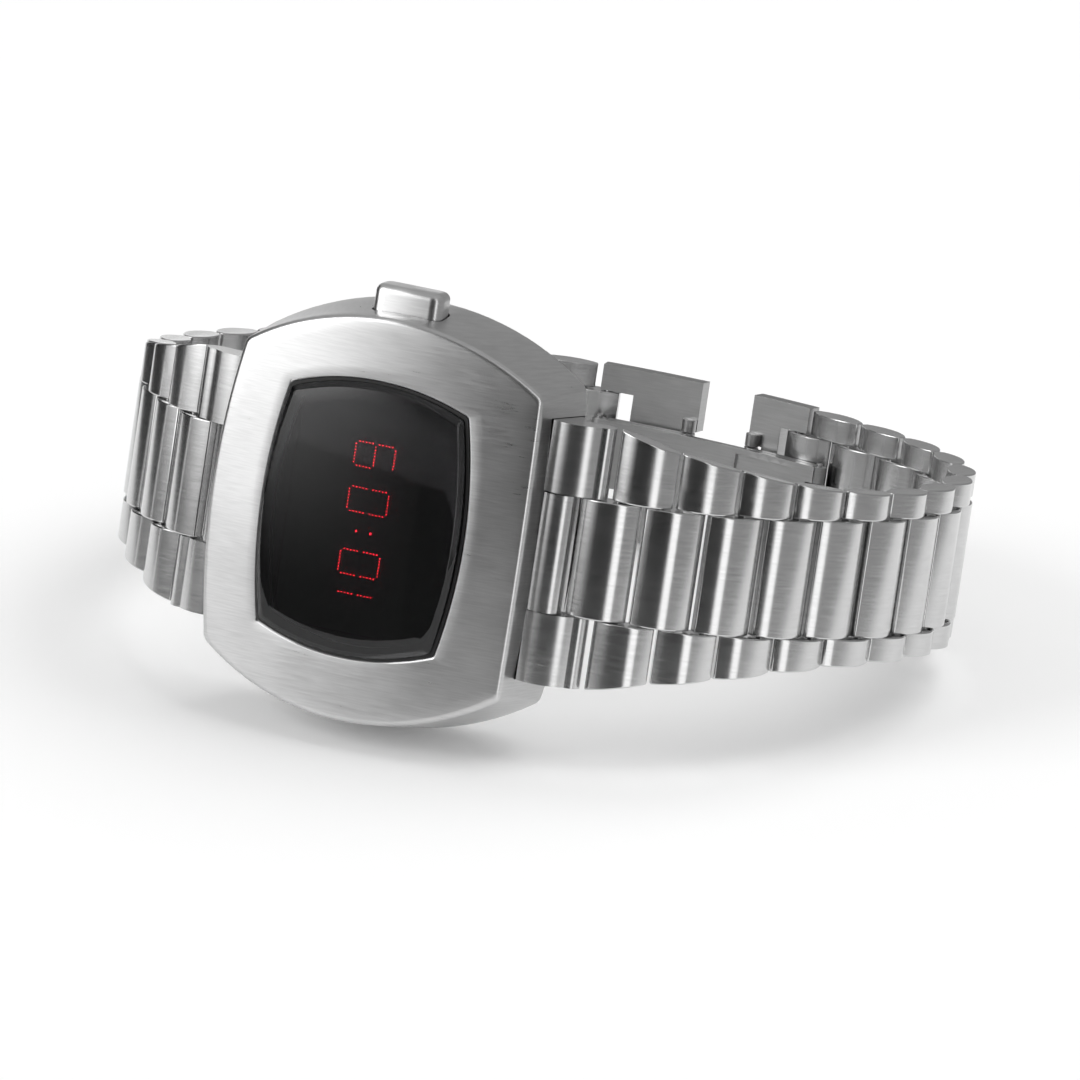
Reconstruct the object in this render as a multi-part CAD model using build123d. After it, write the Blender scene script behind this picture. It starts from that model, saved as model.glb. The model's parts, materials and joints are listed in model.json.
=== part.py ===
"""A stainless steel LED wristwatch on a link bracelet, closed and standing on its 9 o'clock side.

Everything is built in the watch's own frame and stood on the table at the end:
X runs from 12 to 6 o'clock, Y from the dial towards the wrist, Z from 9 to 3 o'clock.
The origin is the middle of the front face. All lengths are in millimetres.
"""
import math
import os

from build123d import *

# Case middle: a barrel outline whose sides lean out, then draw in to the back
case_span_12_6 = 34.7
case_span_9_3 = 40.8
case_bow_12_6 = 1.55
case_bow_9_3 = 5.1
wide_depth = 8.5
case_depth = 11.4
side_draft = 0.6
back_inset = 1.6
corner_radius = 1.6
face_curve_radius = 90.0
face_edge_radius = 0.8
wall = 1.2

# Display window and crystal, a smaller barrel set a little towards 12 o'clock
window_shift = -1.45
window_span_12_6 = 19.9
window_span_9_3 = 25.9
window_bow_12_6 = 1.3
window_bow_9_3 = 1.75
crystal_proud = 0.8
crystal_sunk = 1.3
crystal_bevel = 0.45
gasket_wall = 0.3
window_ledge = 1.0
ledge_thickness = 0.6

# Module inside the case
cavity_12_6 = 22.4
cavity_9_3 = 26.0
cavity_radius = 4.0
filter_thickness = 0.4
filter_overlap = 0.7
filter_gap = 0.6
board_thickness = 0.8
board_margin = 1.9
led_thickness = 0.25
chip_12_6 = 4.0
chip_9_3 = 5.0
chip_thickness = 0.8
holder_floor = 1.1
battery_diameter = 16.0
battery_thickness = 3.2
battery_step = 0.6
battery_step_share = 0.86
contact_width = 3.0
contact_thickness = 0.2
contact_length = 9.5
contact_leg = 2.2

# Lit digits: seven straight segments each, read from 9 towards 3 o'clock
digit_height = 3.9
digit_width = 2.7
segment_width = 0.32
segment_gap = 0.16
colon_size = 0.42
colon_spacing = 1.5
digit_places = (-8.55, -4.45, 1.5, 5.8)
colon_place = -1.45
digit_row = -1.6

# Caseback and its fasteners
caseback_thickness = 1.8
caseback_recess = 1.0
caseback_inset = 2.3
caseback_chamfer = 0.5
back_gasket_margin = 0.35
back_gasket_width = 0.8
back_gasket_depth = 0.5
screw_12_6 = 19.2
screw_9_3 = 29.0
screw_radius = 0.5
screw_head_radius = 0.9
screw_head_height = 0.6
screw_reach = 2.4
screw_slot_width = 0.25

# Pusher at 3 o'clock
pusher_shift = -0.95
pusher_shift_depth = 4.3
pusher_length = 6.9
pusher_thickness = 3.5
pusher_proud = 1.9
pusher_skirt = 1.3
pusher_travel = 0.8
pusher_radius = 1.0
pusher_edge = 0.45
pusher_clearance = 0.12
stem_radius = 0.7
stem_flange_radius = 1.05
stem_flange = 0.35
stem_overhang = 0.9
clip_radius = 1.15
clip_thickness = 0.3
spring_radius = 1.0
spring_wire = 0.16
spring_turns = 3
spring_well = 0.9
o_ring_radius = 0.98
o_ring_width = 0.5

# Bracelet: rows, pins and the lens section that every link shares
centre_width = 11.3
bracelet_width_case = 25.0
bracelet_width_clasp = 16.2
taper_shares = (1.0, 0.68, 0.44, 0.22, 0.09, 0.02, 0, 0, 0, 0, 0, 0, 0, 0)
pitch = 6.0
link_gap = 0.3
row_gap = 0.1
crown_out = 1.55
crown_in = 1.25
link_edge = 0.4
pivot_inset = 1.3
outer_start = 1.5
bridge_length = 1.9
bridge_height = 1.2
bridge_overlap = 0.6
pin_radius = 0.45
pin_grip = 1.2
tight = 0.01
running = 0.04

# Where the strap starts, and how each side bends round to the clasp
lug_x = 19.66
lug_y = 5.0
lug_angle = 17.0
directions_6 = (15.1, 30.7, 45.5, 54.7, 60.4, 72.3, 82.7, 93.2, 108.6, 123.9, 138.3, 149.8, 157.7)
bends_12 = (41.2, 10.6, 12.3, 10.7, 11.1, 11.3, 11.2, 11.0, 10.5, 9.8, 8.9, 7.9, 6.6)

# End links, pocketed into the case and held by spring bars
pocket_reach = 13.2
pocket_front = 2.3
pocket_back = 8.3
end_link_length = 5.2
end_link_tip = 0.2
end_link_belly = 1.5
knuckle_radius = 1.05
end_block_front = 3.7
end_block_back = 7.7
end_block_side = 17.2
slide_fit = 0.05
spring_bar_radius = 0.75
spring_tip_radius = 0.42
spring_tip = 1.1
spring_bar_x = 14.5
spring_bar_y = 5.8

# Clasp: two covers outside, two folding wings, and one base blade inside
clasp_radius = 60.0
clasp_turn = 6.0
cover_6_length = 6.4
cover_12_length = 10.4
cover_gap = 5.6
cover_12_start = 1.9
cover_width = 16.6
cover_out = 1.1
cover_in = 0.6
cover_notch_6 = 3.0
cover_notch_12 = 3.4
tongue_length = 5.1
cover_hinge_inset = 0.7
blade_thickness = 0.8
blade_width = 6.6
blade_layer_gap = 0.2
wing_level = 1.4
hinge_drop = 1.0
hinge_radius = 0.7
hinge_pin_radius = 0.3
hinge_lug = 1.2
hinge_centre_width = 3.2
hinge_clearance = 0.1
hinge_room = 0.15
wing_length = 9.0
pin_head_length = 0.35
blade_recess_depth = 0.3
blade_recess_width = 0.6
blade_recess_share = 0.38

# How the watch stands: it leans back on its bracelet
lean = -12.0
roll = 0.37

# Working values: how far cuts overshoot, both sides, and the closing of the loop
cut_over = 1.0
sides = (-1, 1)
quarter_turn = 90
half_turn = 180
closing_rounds = 8
closing_step = 0.001


def barrel(span_x, span_z, bow_x, bow_z, inset=0):
    """A four-cornered barrel outline of shallow arcs, on the plane of the dial."""
    half_x, half_z = span_x / 2 - inset, span_z / 2 - inset
    at_x, at_z = half_x - bow_x, half_z - bow_z
    arcs = [
        ThreePointArc((-at_x, at_z), (0, half_z), (at_x, at_z)),
        ThreePointArc((at_x, at_z), (half_x, 0), (at_x, -at_z)),
        ThreePointArc((at_x, -at_z), (0, -half_z), (-at_x, -at_z)),
        ThreePointArc((-at_x, -at_z), (-half_x, 0), (-at_x, at_z)),
    ]
    return make_face(arcs)


def between(face, front, back, taper=0):
    """Extrude a dial-plane outline from one depth to another."""
    return extrude(Plane.XZ.offset(-front) * face, front - back, taper=taper)


def window(margin=0):
    """The display window's outline, grown by a margin."""
    face = barrel(window_span_12_6, window_span_9_3, window_bow_12_6, window_bow_9_3, -margin)
    return Pos(window_shift, 0) * face


def case_outline(inset=0):
    """The case outline where it is widest."""
    return barrel(case_span_12_6, case_span_9_3, case_bow_12_6, case_bow_9_3, inset)


def block(x, y, z):
    """A box from pairs of limits."""
    size = (x[1] - x[0], y[1] - y[0], z[1] - z[0])
    return Pos(*((a[0] + a[1]) / 2 for a in (x, y, z))) * Box(*size)


def rod(place, radius, z_from, z_to):
    """A round rod along Z at a point of the XY plane."""
    return extrude(Pos(place[0], place[1], z_from) * Circle(radius), z_to - z_from)


def pusher_column(length, thickness, radius, z_from, z_to):
    """A rounded bar that stands along Z at the pusher's place."""
    shape = RectangleRounded(length, thickness, radius)
    return extrude(Pos(pusher_shift, pusher_shift_depth, z_from) * shape, z_to - z_from)


def pusher_round(radius, z_from, z_to):
    """A round piece on the pusher's axis."""
    return rod((pusher_shift, pusher_shift_depth), radius, z_from, z_to)


# Depths that the case, the module and the caseback share
ledge_depth = crystal_sunk + slide_fit
cavity_front = ledge_depth + ledge_thickness
seat_depth = case_depth - caseback_recess
holder_front = cavity_front + filter_thickness + slide_fit
board_back = cavity_front + filter_thickness + filter_gap + board_thickness
holder_back = seat_depth - slide_fit
battery_front = board_back + holder_floor
battery_back = battery_front + battery_thickness

# Heights that the pusher's pieces share
case_top = case_span_9_3 / 2 - side_draft * (1 - pusher_shift_depth / wide_depth)
pusher_top = case_top + pusher_proud
pusher_bottom = case_top - pusher_skirt
recess_bottom = pusher_bottom - pusher_travel - pusher_clearance
spring_seat = recess_bottom - spring_well
cavity_top = cavity_9_3 / 2
stem_end = cavity_top - stem_overhang

# End link depth lines
pocket_half = bracelet_width_case / 2 + slide_fit
half_centre = centre_width / 2
link_length = pitch - link_gap
outer_end = outer_start + link_length


def face_dome():
    """The shallow cylinder whose front is the watch's face."""
    return rod((0, face_curve_radius), face_curve_radius, -case_span_9_3, case_span_9_3)


def make_case_middle():
    """The steel case: outside form, then the window, module, caseback, pusher and end-link cuts."""
    draft = math.degrees(math.atan(side_draft / wide_depth))
    drawn_in = math.degrees(math.atan(back_inset / (case_depth - wide_depth)))
    outline = fillet(case_outline(side_draft).vertices(), corner_radius)
    body = between(outline, 0, wide_depth, -draft)
    widest = body.faces().sort_by(Axis.Y)[-1]
    body += extrude(widest, case_depth - wide_depth, taper=drawn_in)
    body &= face_dome()
    front = body.faces().filter_by(GeomType.CYLINDER).sort_by(Axis.Y)[0]
    body = fillet(front.edges(), face_edge_radius)
    body -= between(window(gasket_wall), -cut_over, ledge_depth)
    body -= between(window(-window_ledge), -cut_over, cavity_front + cut_over)
    cavity = RectangleRounded(cavity_12_6, cavity_9_3, cavity_radius)
    body -= between(cavity, cavity_front, case_depth + cut_over)
    body -= between(case_outline(caseback_inset - slide_fit), seat_depth, case_depth + cut_over)
    groove = back_gasket_ring(slide_fit)
    body -= between(groove, seat_depth - back_gasket_depth, seat_depth + cut_over)
    for x, z in screw_places():
        hole = Pos(x, z) * Circle(screw_radius + tight)
        body -= between(hole, seat_depth - screw_reach - slide_fit, seat_depth + cut_over)
    body -= pusher_column(pusher_length + 2 * pusher_clearance, pusher_thickness + 2 * pusher_clearance,
                          pusher_radius + pusher_clearance, recess_bottom, case_span_9_3)
    body -= pusher_round(spring_radius + spring_wire + slide_fit, spring_seat, recess_bottom + cut_over)
    body -= pusher_round(stem_radius + running, cavity_top - cut_over, recess_bottom)
    body -= pusher_round(o_ring_radius + tight, spring_seat - o_ring_width, spring_seat)
    for side in sides:
        x = sorted((side * pocket_reach, side * case_span_12_6))
        body -= block(x, (pocket_front, pocket_back), (-pocket_half, pocket_half))
        reach = pocket_half + spring_tip + slide_fit
        body -= rod((side * spring_bar_x, spring_bar_y), spring_tip_radius + tight, -reach, reach)
    return body


def screw_places():
    """The four caseback screws, in dial-plane coordinates."""
    return [(a * screw_12_6 / 2, b * screw_9_3 / 2) for a in sides for b in sides]


def back_gasket_ring(margin=0):
    """The caseback gasket's ring, grown all round by a margin."""
    inner = back_gasket_margin - margin
    outer = back_gasket_margin + back_gasket_width + margin
    ring = RectangleRounded(cavity_12_6 + 2 * outer, cavity_9_3 + 2 * outer, cavity_radius + outer)
    return ring - RectangleRounded(cavity_12_6 + 2 * inner, cavity_9_3 + 2 * inner, cavity_radius + inner)


def make_crystal():
    """The raised mineral crystal, bevelled all round its front."""
    glass = between(window(), -crystal_proud, crystal_sunk)
    return chamfer(glass.faces().sort_by(Axis.Y)[0].edges(), crystal_bevel)


def make_crystal_gasket():
    """The thin seal between the crystal and its opening."""
    ring = window(gasket_wall - tight) - window(tight)
    return between(ring, 0, crystal_sunk) & face_dome()


def make_display_filter():
    """The dark filter behind the crystal."""
    return between(window(filter_overlap - window_ledge), cavity_front, cavity_front + filter_thickness)


def make_led_segments():
    """Four seven-segment digits and a colon, as separate lit bars on the board."""
    front = board_back - board_thickness - led_thickness
    bars = []
    half_height, half_width = digit_height / 2, (digit_width - segment_width) / 2
    long_bar = digit_height / 2 - segment_gap
    wide_bar = digit_width - segment_width - 2 * segment_gap
    for place in digit_places:
        for up in (-1, 0, 1):
            middle = Pos(up * (half_height - segment_width / 2), place)
            bars.append(middle * Rectangle(segment_width, wide_bar))
        for up in sides:
            for across in sides:
                middle = Pos(up * half_height / 2, place + across * half_width)
                bars.append(middle * Rectangle(long_bar - segment_width, segment_width))
    for up in sides:
        bars.append(Pos(up * colon_spacing / 2, colon_place) * Rectangle(colon_size, colon_size))
    return [between(Pos(digit_row, 0) * bar, front, front + led_thickness) for bar in bars]


def board_outline(margin=0):
    """The circuit board's outline, grown by a margin."""
    grow = 2 * (margin - board_margin)
    return RectangleRounded(cavity_12_6 + grow, cavity_9_3 + grow, cavity_radius - board_margin + margin)


def chip_outline(margin=0):
    """The driver chip, under the board beside the battery."""
    place = (cavity_9_3 - chip_9_3) / 2 - 2 * board_margin
    return Pos(0, -place) * Rectangle(chip_12_6 + 2 * margin, chip_9_3 + 2 * margin)


def make_circuit_board():
    """The board that carries the digits, with its driver chip behind."""
    board = between(board_outline(), board_back - board_thickness, board_back)
    chip = between(chip_outline(), board_back, board_back + chip_thickness)
    return [board, chip]


def battery_place():
    """The middle of the coin cell, pushed towards 3 o'clock to clear the chip."""
    return Pos(0, (cavity_9_3 - battery_diameter) / 2 - board_margin - wall)


def make_module_holder():
    """The moulded frame that locates the board in front and the battery behind."""
    size = (cavity_12_6 - 2 * slide_fit, cavity_9_3 - 2 * slide_fit)
    frame = between(RectangleRounded(*size, cavity_radius - slide_fit), holder_front, holder_back)
    frame -= between(board_outline(slide_fit), holder_front - cut_over, board_back)
    frame -= between(chip_outline(slide_fit), board_back - cut_over, board_back + chip_thickness + slide_fit)
    cell = battery_place() * Circle(battery_diameter / 2 + slide_fit)
    frame -= between(cell, battery_front, holder_back + cut_over)
    frame -= between(contact_outline(slide_fit), battery_back, holder_back + cut_over)
    frame -= between(leg_outline(slide_fit), battery_back - contact_leg, holder_back + cut_over)
    pocket = clip_radius + pusher_clearance
    return frame - pusher_round(pocket, stem_end - pusher_travel - slide_fit, cavity_top)


def contact_outline(margin=0):
    """The contact strip, from the middle of the cell to its anchor beyond the rim."""
    reach = battery_diameter / 2 - contact_length / 2 + wall
    place = battery_place() * Pos(0, -reach)
    return place * Rectangle(contact_width + 2 * margin, contact_length + 2 * margin)


def leg_outline(margin=0):
    """The contact strip's bent leg, at its outer end."""
    reach = battery_diameter / 2 + wall - contact_thickness / 2
    size = (contact_width + 2 * margin, contact_thickness + 2 * margin)
    return battery_place() * Pos(0, -reach) * Rectangle(*size)


def make_battery():
    """A coin cell with its smaller negative cap."""
    middle = battery_place()
    can = between(middle * Circle(battery_diameter / 2), battery_front + battery_step, battery_back)
    cap = middle * Circle(battery_diameter / 2 * battery_step_share)
    return can + between(cap, battery_front, battery_front + battery_step)


def make_battery_contact():
    """A bent spring strip that rests on the cell and hooks into the holder."""
    strip = between(contact_outline(), battery_back, battery_back + contact_thickness)
    return strip + between(leg_outline(), battery_back - contact_leg + slide_fit, battery_back)


def make_caseback():
    """The screwed steel back, standing a little proud of the case."""
    plate = between(case_outline(caseback_inset), seat_depth, seat_depth + caseback_thickness)
    plate = chamfer(plate.faces().sort_by(Axis.Y)[-1].edges(), caseback_chamfer)
    back = seat_depth + caseback_thickness
    for x, z in screw_places():
        shank, head = (Pos(x, z) * Circle(radius + slide_fit) for radius in (screw_radius, screw_head_radius))
        plate -= between(shank, seat_depth - cut_over, back + cut_over)
        plate -= between(head, back - screw_head_height, back + cut_over)
    return plate


def make_caseback_screws():
    """Four slotted screws, sunk level with the caseback."""
    back = seat_depth + caseback_thickness
    screws = []
    for x, z in screw_places():
        screw = between(Pos(x, z) * Circle(screw_radius), seat_depth - screw_reach, back - screw_head_height)
        screw += between(Pos(x, z) * Circle(screw_head_radius), back - screw_head_height, back)
        slot = Pos(x, z) * Rectangle(2 * screw_head_radius + slide_fit, screw_slot_width)
        screws.append(screw - between(slot, back - screw_head_height / 2, back + cut_over))
    return screws


def make_pusher_cap():
    """The rounded bar that the finger presses, bored for its stem."""
    cap = pusher_column(pusher_length, pusher_thickness, pusher_radius, pusher_bottom, pusher_top)
    cap = fillet(cap.faces().sort_by(Axis.Z)[-1].edges(), pusher_edge)
    return cap - pusher_round(stem_radius + tight, pusher_bottom - cut_over, pusher_bottom + pusher_skirt)


def make_pusher_stem():
    """The stem, from inside the cap through the case wall to the contact."""
    stem = pusher_round(stem_radius, stem_end, pusher_bottom + pusher_skirt - slide_fit)
    flange_top = pusher_bottom - tight
    return stem + pusher_round(stem_flange_radius, flange_top - stem_flange, flange_top)


def make_pusher_clip():
    """The clip that keeps the stem from pulling out."""
    top = cavity_top - slide_fit
    ring = pusher_round(clip_radius, top - clip_thickness, top)
    return ring - pusher_round(stem_radius + tight, top - clip_thickness - cut_over, top + cut_over)


def make_pusher_gasket():
    """The seal round the stem, below the spring."""
    ring = pusher_round(o_ring_radius, spring_seat - o_ring_width + tight, spring_seat - tight)
    return ring - pusher_round(stem_radius + tight, spring_seat - 2 * o_ring_width, spring_seat + cut_over)


def make_pusher_spring():
    """The coil that lifts the pusher, between the seal and the stem's flange."""
    low = spring_seat + spring_wire
    high = pusher_bottom - tight - stem_flange - spring_wire - slide_fit
    coil = Helix((high - low) / spring_turns, high - low, spring_radius)
    start = Plane(origin=coil @ 0, z_dir=coil % 0)
    turns = sweep(start * Rectangle(spring_wire, spring_wire), coil, is_frenet=True)
    return Pos(pusher_shift, pusher_shift_depth, low) * turns


def lens(start, length, belly=crown_in):
    """The section of a link along the strap: domed outside (-Y) and inside (+Y)."""
    end, middle = start + length, start + length / 2
    outline = [
        ThreePointArc((start, -link_edge), (middle, -crown_out), (end, -link_edge)),
        Line((end, -link_edge), (end, link_edge)),
        ThreePointArc((end, link_edge), (middle, belly), (start, link_edge)),
        Line((start, link_edge), (start, -link_edge)),
    ]
    return make_face(outline)


def full_width(face, width):
    """Extrude a strap section evenly to both sides of the middle."""
    return extrude(face, width / 2, both=True)


def make_centre_piece(length=link_length):
    """One centre-row piece with the bore that turns on its hinge pin."""
    piece = full_width(lens(-pivot_inset, length), centre_width)
    return piece - rod((0, 0), pin_radius + running, -centre_width, centre_width)


def make_pin(radius=pin_radius, half=half_centre + row_gap + pin_grip):
    """A hinge pin across the strap, at the pivot."""
    return rod((0, 0), radius, -half, half)


def make_outer_pair(width_near, width_far):
    """The two outer-row pieces of a link, narrowing towards the clasp."""
    pieces = full_width(lens(outer_start, link_length), width_near)
    near, far, inner = width_near / 2, width_far / 2, half_centre + row_gap
    plans = []
    for side in sides:
        corners = [(outer_start, side * inner), (outer_end, side * inner),
                   (outer_end, side * far), (outer_start, side * near)]
        plans.append(make_face(Polyline(*corners, close=True)))
    pieces &= extrude(Plane.XZ * Sketch(plans), crown_out + crown_in, both=True)
    grip = inner + pin_grip + tight
    return pieces - Pos(pitch, 0) * rod((0, 0), pin_radius + tight, -grip, grip)


def make_link(width_near, width_far):
    """A rigid link: centre piece and outer pair on one bridge, and the hinge pin in its far end."""
    middle = (outer_start + link_length - pivot_inset) / 2
    half = half_centre + row_gap + bridge_overlap
    bridge = block((middle - bridge_length / 2, middle + bridge_length / 2),
                   (-bridge_height / 2, bridge_height / 2), (-half, half))
    link = make_centre_piece() + bridge + make_outer_pair(width_near, width_far)
    return [link, Pos(pitch, 0) * make_pin()]


def unit(angle):
    """A unit step in the strap's plane."""
    return Vector(math.cos(math.radians(angle)), math.sin(math.radians(angle)))


def strap_pivots(start, directions):
    """The hinge points of a strap whose links point along the given directions."""
    places = [start]
    for angle in directions:
        places.append(places[-1] + pitch * unit(angle))
    return places


def clasp_point(along, out):
    """A point of the clasp: so far along its arc from the 6 o'clock strap, so far outside it."""
    angle = clasp_start_angle - quarter_turn + math.degrees(along / clasp_radius)
    return clasp_centre + (clasp_radius + out) * unit(angle)


def solve_12_directions(target):
    """Scale and skew the 12 o'clock strap's bends until its end meets the clasp."""
    count = len(bends_12) - 1

    def directions(spread, skew):
        angle = half_turn - bends_12[0]
        found = [angle]
        for index, bend in enumerate(bends_12[1:]):
            angle -= bend * (spread + skew * (index / count - 1 / 2))
            found.append(angle)
        return found

    def miss(spread, skew):
        return strap_pivots(Vector(-lug_x, lug_y), directions(spread, skew))[-1] - target

    spread, skew = 1, 0
    for _ in range(closing_rounds):
        off = miss(spread, skew)
        by_spread = (miss(spread + closing_step, skew) - off) * (1 / closing_step)
        by_skew = (miss(spread, skew + closing_step) - off) * (1 / closing_step)
        size = by_spread.X * by_skew.Y - by_skew.X * by_spread.Y
        spread -= (off.X * by_skew.Y - by_skew.X * off.Y) / size
        skew -= (by_spread.X * off.Y - off.X * by_spread.Y) / size
    return directions(spread, skew)


# The closed loop: the 6 o'clock strap, the clasp's arc, then the 12 o'clock strap to meet it
pivots_6 = strap_pivots(Vector(lug_x, lug_y), directions_6)
clasp_start_angle = directions_6[-1] + clasp_turn
clasp_centre = pivots_6[-1] + clasp_radius * unit(clasp_start_angle + quarter_turn)
cover_6_span = (outer_start, outer_start + cover_6_length)
cover_12_span = (cover_6_span[1] + cover_gap, cover_6_span[1] + cover_gap + cover_12_length)
clasp_length = cover_12_span[1] + cover_12_start
directions_12 = solve_12_directions(clasp_point(clasp_length, 0))
pivots_12 = strap_pivots(Vector(-lug_x, lug_y), directions_12)

# Hinge lines of the clasp, as (along, out)
bar_reach = (outer_start + tongue_length - pivot_inset) / 2
cover_hinge_6 = (cover_6_span[1] - cover_hinge_inset, -hinge_drop)
cover_hinge_12 = (cover_12_span[0] + cover_hinge_inset, -hinge_drop)
base_level = wing_level + blade_thickness + blade_layer_gap
base_hinge_6 = (cover_hinge_6[0] - wing_length, blade_layer_gap / 2 - base_level)
base_hinge_12 = (cover_hinge_12[0] + wing_length, blade_layer_gap / 2 - base_level)


def band(along, out, z):
    """A curved plate of the clasp: limits along the arc, outwards and across."""
    middle = (along[0] + along[1]) / 2
    low = [clasp_point(s, out[0]) for s in (along[0], middle, along[1])]
    high = [clasp_point(s, out[1]) for s in (along[1], middle, along[0])]
    edges = [ThreePointArc(*low), Line(low[2], high[0]), ThreePointArc(*high), Line(high[2], low[0])]
    return extrude(Pos(0, 0, z[0]) * make_face(edges), z[1] - z[0])


def clasp_rod(place, radius, half, inner=0):
    """A rod, or with an inner limit a pair of rods, on a hinge line of the clasp."""
    at = clasp_point(*place)
    at = (at.X, at.Y)
    if not inner:
        return rod(at, radius, -half, half)
    return rod(at, radius, -half, -inner) + rod(at, radius, inner, half)


def make_cover(span, hinge, notch, ears_at):
    """A clasp cover: a curved plate, notched for the strap's tongue and for the wing's knuckle."""
    half = cover_width / 2
    plate = band(span, (-cover_in, cover_out), (-half, half))
    tongue = (ears_at, ears_at + notch) if ears_at < hinge[0] else (ears_at - notch, ears_at)
    deep = (-cover_in - cut_over, cover_out + cut_over)
    inner = half_centre + row_gap
    room = hinge_radius + hinge_room
    wing_half = blade_width / 2 + hinge_clearance
    plate -= band(tongue, deep, (-inner, inner))
    inner_end = (hinge[0] - room, span[1] + cut_over)
    if ears_at > hinge[0]:
        inner_end = (span[0] - cut_over, hinge[0] + room)
    plate -= band(inner_end, deep, (-wing_half, wing_half))
    plate += clasp_rod(hinge, hinge_radius, wing_half + hinge_lug, wing_half)
    plate -= clasp_rod(hinge, hinge_pin_radius + tight, wing_half + hinge_lug + cut_over)
    bar = (bar_reach if ears_at < hinge[0] else clasp_length - bar_reach, 0)
    grip = inner + pin_grip + tight
    return plate - clasp_rod(bar, pin_radius + tight, grip)


def make_cover_pin(hinge):
    """The short pin that a cover's two lugs hold."""
    return clasp_rod(hinge, hinge_pin_radius, blade_width / 2 + hinge_clearance + hinge_lug)


def make_wing(cover_hinge, base_hinge):
    """A folding wing: one plate with a knuckle on the cover's pin and one on the base's pin."""
    half, centre = blade_width / 2, hinge_centre_width / 2
    along = sorted((cover_hinge[0], base_hinge[0]))
    level = (-wing_level - blade_thickness, -wing_level)
    plate = band(along, level, (-half, half))
    room = hinge_radius + hinge_room
    toward = 1 if cover_hinge[0] > base_hinge[0] else -1
    cut = sorted((base_hinge[0] - toward * cut_over, base_hinge[0] + toward * room))
    for side in sides:
        z = sorted((side * centre, side * (half + cut_over)))
        plate -= band(cut, (level[0] - cut_over, level[1] + cut_over), z)
    plate += clasp_rod(cover_hinge, hinge_radius, half)
    plate += clasp_rod(base_hinge, hinge_radius, centre)
    plate -= clasp_rod(cover_hinge, hinge_pin_radius + running, half + cut_over)
    return plate - clasp_rod(base_hinge, hinge_pin_radius + running, half + cut_over)


def make_clasp_base():
    """The base blade against the wrist, with a forked knuckle at each end."""
    half, centre = blade_width / 2, hinge_centre_width / 2 + hinge_clearance
    level = (-base_level - blade_thickness, -base_level)
    blade = band((base_hinge_6[0], base_hinge_12[0]), level, (-half, half))
    room = hinge_radius + hinge_room
    for hinge, toward in ((base_hinge_6, 1), (base_hinge_12, -1)):
        cut = sorted((hinge[0] - toward * cut_over, hinge[0] + toward * room))
        blade -= band(cut, (level[0] - cut_over, level[1] + cut_over), (-centre, centre))
        blade += clasp_rod(hinge, hinge_radius, half, centre)
        blade -= clasp_rod(hinge, hinge_pin_radius + tight, half + cut_over)
    start = base_hinge_6[0] + room + blade_recess_width
    end = base_hinge_6[0] + (base_hinge_12[0] - base_hinge_6[0]) * blade_recess_share
    recess = (level[0] - cut_over, level[0] + blade_recess_depth)
    return blade - band((start, end), recess, (blade_recess_width - half, half - blade_recess_width))


def make_base_pins():
    """The two pins that the base's knuckles hold."""
    half = blade_width / 2 + pin_head_length
    return [clasp_rod(hinge, hinge_pin_radius, half) for hinge in (base_hinge_6, base_hinge_12)]


def make_clasp_link(pinned):
    """The single centre piece that joins a strap to its cover, with the bar that it carries."""
    bar = Pos(bar_reach, 0) * rod((0, 0), pin_radius + running, -centre_width, centre_width)
    piece = make_centre_piece(tongue_length) - bar
    return [piece, make_pin(half=half_centre)] if pinned else [piece]


def make_end_link():
    """The 6 o'clock end link: two ears, the short centre row, and the block behind them."""
    middle = end_link_tip - end_link_length / 2
    start = end_link_tip - end_link_length
    ear = [
        ThreePointArc((start, -link_edge), (middle, -crown_out), (end_link_tip, -link_edge)),
        Polyline((end_link_tip, -link_edge), (end_link_tip, knuckle_radius - tight),
                 (middle, end_link_belly), (start, end_link_belly), (start, -link_edge)),
    ]
    ear = make_face(ear) + Circle(knuckle_radius)
    short_end = -pivot_inset - link_gap
    centre = [
        ThreePointArc((start, -link_edge), ((start + short_end) / 2, -crown_out), (short_end, -link_edge)),
        Polyline((short_end, -link_edge), (short_end, link_edge), (middle, end_link_belly),
                 (start, end_link_belly), (start, -link_edge)),
    ]
    half, inner = bracelet_width_case / 2, half_centre + row_gap
    lug = Pos(lug_x, lug_y) * Rot(0, 0, lug_angle)
    rear = block((pocket_reach + slide_fit, end_block_side), (end_block_front, end_block_back), (-half, half))
    ears = full_width(ear, bracelet_width_case) - full_width(ear, 2 * inner)
    link = lug * ears + lug * full_width(make_face(centre), centre_width) + rear
    grip = inner + pin_grip + tight
    link -= rod((lug_x, lug_y), pin_radius + tight, -grip, grip)
    link -= block((lug_x - pivot_inset - link_gap, lug_x + cut_over), (0, case_depth), (-inner, inner))
    return link - rod((spring_bar_x, spring_bar_y), spring_bar_radius + tight, -half - cut_over, half + cut_over)


def make_spring_bar():
    """The sprung bar that holds an end link between the case walls."""
    half = bracelet_width_case / 2
    bar = rod((spring_bar_x, spring_bar_y), spring_bar_radius, -half, half)
    return bar + rod((spring_bar_x, spring_bar_y), spring_tip_radius, -half - spring_tip, half + spring_tip)


def strap_width(index):
    """The bracelet's width at the start of a link."""
    return bracelet_width_clasp + (bracelet_width_case - bracelet_width_clasp) * taper_shares[index]


def at_pivot(place, angle, flip):
    """The frame of a link: X along the strap, +Y towards the wrist."""
    along = unit(angle)
    return Plane(origin=place, x_dir=along, z_dir=(0, 0, -1 if flip else 1)).location


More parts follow.
